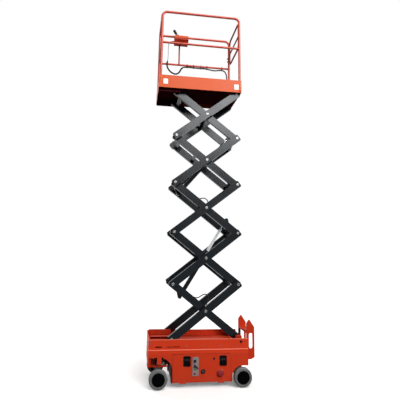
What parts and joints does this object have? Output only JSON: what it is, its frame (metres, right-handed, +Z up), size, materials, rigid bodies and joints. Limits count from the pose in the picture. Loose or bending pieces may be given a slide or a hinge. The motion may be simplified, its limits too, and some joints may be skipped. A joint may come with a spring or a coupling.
{
  "type": "self-propelled scissor lift",
  "caption": "Compact battery scissor lift on four wheels, with a guarded work platform raised on a stack of crossed arms by hydraulic cylinders.",
  "frame": {"origin": "on the floor, in the middle of the overall length and width", "axes": "+X towards the ladder and entry gate, +Z up, -Y the side with the ground controls"},
  "size_m": [1.38, 0.764, 5.1509],
  "materials": {
    "orange_paint": "gloss",
    "charcoal_paint": "gloss",
    "tyre_rubber": "matt",
    "black_plastic": "satin",
    "rod_chrome": "polished",
    "battery_case": "matt",
    "machine_grey": "satin",
    "hub_black": "satin",
    "deck_steel": "matt",
    "control_panel": "satin",
    "cable_sheath": "satin"
  },
  "bodies": {
    "chassis": {"chassis_frame": "orange_paint", "side_rails": "orange_paint", "arch_panels": "orange_paint", "steering_plate": "orange_paint", "pivot_brackets": "orange_paint", "base_tracks": "machine_grey", "ladder": "orange_paint", "rear_axle": "machine_grey", "battery_pack": "battery_case", "hydraulic_unit": "machine_grey", "spine_plates": "orange_paint", "wheel_housings": "charcoal_paint"},
    "near_door": {"near_side_door": "orange_paint", "near_door_latches": "black_plastic", "ground_controls": "control_panel"},
    "far_door": {"far_side_door": "orange_paint", "far_door_latches": "black_plastic"},
    "near_knuckle_body": {"near_knuckle": "orange_paint"},
    "far_knuckle_body": {"far_knuckle": "orange_paint"},
    "tie_rod_body": {"tie_rod": "machine_grey"},
    "platform": {"deck_floor": "deck_steel", "deck_skirts": "orange_paint", "deck_frame": "deck_steel", "near_guard_rail": "orange_paint", "far_guard_rail": "orange_paint", "front_guard_rail": "orange_paint", "control_box": "orange_paint", "joystick": "black_plastic", "control_cable": "cable_sheath", "platform_harness": "cable_sheath"},
    "gate": {"entry_gate": "orange_paint"},
    "lower_barrel_body": {"lower_barrel": "charcoal_paint"},
    "lower_rod_body": {"lower_rod": "rod_chrome"},
    "upper_barrel_body": {"upper_barrel": "charcoal_paint"},
    "upper_rod_body": {"upper_rod": "rod_chrome"},
    "inner_1": {"inner_arms_1": "charcoal_paint", "cross_members_1": "charcoal_paint", "lower_hose": "cable_sheath"},
    "outer_1": {"outer_arms_1": "charcoal_paint"},
    "inner_2": {"inner_arms_2": "charcoal_paint", "cross_members_2": "charcoal_paint"},
    "outer_2": {"outer_arms_2": "charcoal_paint"},
    "inner_3": {"inner_arms_3": "charcoal_paint", "cross_members_3": "charcoal_paint", "upper_hose": "cable_sheath"},
    "outer_3": {"outer_arms_3": "charcoal_paint"},
    "inner_4": {"inner_arms_4": "charcoal_paint", "cross_members_4": "charcoal_paint"},
    "outer_4": {"outer_arms_4": "charcoal_paint"},
    "inner_5": {"inner_arms_5": "charcoal_paint", "cross_members_5": "charcoal_paint"},
    "outer_5": {"outer_arms_5": "charcoal_paint"},
    "front_near_wheel": {"front_near_tyre": "tyre_rubber", "front_near_hub": "hub_black"},
    "front_far_wheel": {"front_far_tyre": "tyre_rubber", "front_far_hub": "hub_black"},
    "rear_near_wheel": {"rear_near_tyre": "tyre_rubber", "rear_near_hub": "hub_black"},
    "rear_far_wheel": {"rear_far_tyre": "tyre_rubber", "rear_far_hub": "hub_black"}
  },
  "joints": [
    {"name": "lift", "type": "hinge", "parent": "chassis", "child": "inner_1", "pos_m": [0.4546, 0, 0.558], "axis": [0, 1, 0], "range_deg": [-31.92, 0]},
    {"name": "cross_1", "type": "hinge", "parent": "inner_1", "child": "outer_1", "pos_m": [0.02422, 0, 0.89087], "axis": [0, 1, 0], "range_deg": [0, 63.84]},
    {"name": "knee_1", "type": "hinge", "parent": "outer_1", "child": "inner_2", "pos_m": [0.4546, 0, 1.22375], "axis": [0, 1, 0], "range_deg": [-63.84, 0]},
    {"name": "cross_2", "type": "hinge", "parent": "inner_2", "child": "outer_2", "pos_m": [0.02422, 0, 1.55662], "axis": [0, 1, 0], "range_deg": [0, 63.84]},
    {"name": "knee_2", "type": "hinge", "parent": "outer_2", "child": "inner_3", "pos_m": [0.4546, 0, 1.88949], "axis": [0, 1, 0], "range_deg": [-63.84, 0]},
    {"name": "cross_3", "type": "hinge", "parent": "inner_3", "child": "outer_3", "pos_m": [0.02422, 0, 2.22237], "axis": [0, 1, 0], "range_deg": [0, 63.84]},
    {"name": "knee_3", "type": "hinge", "parent": "outer_3", "child": "inner_4", "pos_m": [0.4546, 0, 2.55524], "axis": [0, 1, 0], "range_deg": [-63.84, 0]},
    {"name": "cross_4", "type": "hinge", "parent": "inner_4", "child": "outer_4", "pos_m": [0.02422, 0, 2.88811], "axis": [0, 1, 0], "range_deg": [0, 63.84]},
    {"name": "knee_4", "type": "hinge", "parent": "outer_4", "child": "inner_5", "pos_m": [0.4546, 0, 3.22099], "axis": [0, 1, 0], "range_deg": [-63.84, 0]},
    {"name": "cross_5", "type": "hinge", "parent": "inner_5", "child": "outer_5", "pos_m": [0.02422, 0, 3.55386], "axis": [0, 1, 0], "range_deg": [0, 63.84]},
    {"name": "deck_pivot", "type": "hinge", "parent": "outer_5", "child": "platform", "pos_m": [0.4546, 0, 3.88673], "axis": [0, 1, 0], "range_deg": [-31.92, 0]},
    {"name": "lower_cylinder_foot", "type": "hinge", "parent": "inner_1", "child": "lower_barrel_body", "pos_m": [-0.28366, 0, 1.04051], "axis": [0, 1, 0], "range_deg": [0, 65.8]},
    {"name": "lower_cylinder_stroke", "type": "slide", "parent": "lower_barrel_body", "child": "lower_rod_body", "axis": [0.5243, 0, 0.8515], "range_m": [-0.4615, 0]},
    {"name": "upper_cylinder_foot", "type": "hinge", "parent": "inner_3", "child": "upper_barrel_body", "pos_m": [-0.33499, 0, 2.44457], "axis": [0, 1, 0], "range_deg": [0, 69.48]},
    {"name": "upper_cylinder_stroke", "type": "slide", "parent": "upper_barrel_body", "child": "upper_rod_body", "axis": [0.6466, 0, 0.7629], "range_m": [-0.2233, 0]},
    {"name": "steering", "type": "hinge", "parent": "chassis", "child": "near_knuckle_body", "pos_m": [-0.561, -0.266, 0.246], "axis": [0, 0, 1], "range_deg": [-40, 40]},
    {"name": "far_steering", "type": "hinge", "parent": "chassis", "child": "far_knuckle_body", "pos_m": [-0.561, 0.266, 0.246], "axis": [0, 0, 1], "range_deg": [-40, 40]},
    {"name": "tie_rod_end", "type": "hinge", "parent": "near_knuckle_body", "child": "tie_rod_body", "pos_m": [-0.497, -0.266, 0.286], "axis": [0, 0, 1], "range_deg": [-40, 40]},
    {"name": "front_near_wheel_spin", "type": "hinge", "parent": "near_knuckle_body", "child": "front_near_wheel", "pos_m": [-0.561, -0.34, 0.115], "axis": [0, 1, 0], "continuous": true},
    {"name": "front_far_wheel_spin", "type": "hinge", "parent": "far_knuckle_body", "child": "front_far_wheel", "pos_m": [-0.561, 0.34, 0.115], "axis": [0, 1, 0], "continuous": true},
    {"name": "rear_near_wheel_spin", "type": "hinge", "parent": "chassis", "child": "rear_near_wheel", "pos_m": [0.492, -0.34, 0.115], "axis": [0, 1, 0], "continuous": true},
    {"name": "rear_far_wheel_spin", "type": "hinge", "parent": "chassis", "child": "rear_far_wheel", "pos_m": [0.492, 0.34, 0.115], "axis": [0, 1, 0], "continuous": true},
    {"name": "gate_hinge", "type": "hinge", "parent": "platform", "child": "gate", "pos_m": [0.4882, 0.2917, 4.83173], "axis": [0, 0, 1], "range_deg": [-90, 0]},
    {"name": "near_door_hinge", "type": "hinge", "parent": "chassis", "child": "near_door", "pos_m": [0, -0.318, 0.056], "axis": [1, 0, 0], "range_deg": [0, 90]},
    {"name": "far_door_hinge", "type": "hinge", "parent": "chassis", "child": "far_door", "pos_m": [0, 0.318, 0.056], "axis": [-1, 0, 0], "range_deg": [0, 90]}
  ],
  "couplings": [
    {"joint": "cross_1", "follows": "lift", "ratio": -2},
    {"joint": "knee_1", "follows": "lift", "ratio": 2},
    {"joint": "cross_2", "follows": "lift", "ratio": -2},
    {"joint": "knee_2", "follows": "lift", "ratio": 2},
    {"joint": "cross_3", "follows": "lift", "ratio": -2},
    {"joint": "knee_3", "follows": "lift", "ratio": 2},
    {"joint": "cross_4", "follows": "lift", "ratio": -2},
    {"joint": "knee_4", "follows": "lift", "ratio": 2},
    {"joint": "cross_5", "follows": "lift", "ratio": -2},
    {"joint": "deck_pivot", "follows": "lift", "ratio": 1},
    {"joint": "lower_cylinder_foot", "follows": "lift", "ratio": -2.0613},
    {"joint": "lower_cylinder_stroke", "follows": "lift", "m_per_rad": 0.82837},
    {"joint": "upper_cylinder_foot", "follows": "lift", "ratio": -2.1768},
    {"joint": "upper_cylinder_stroke", "follows": "lift", "m_per_rad": 0.40081},
    {"joint": "far_steering", "follows": "steering", "ratio": 1},
    {"joint": "tie_rod_end", "follows": "steering", "ratio": -1}
  ]
}
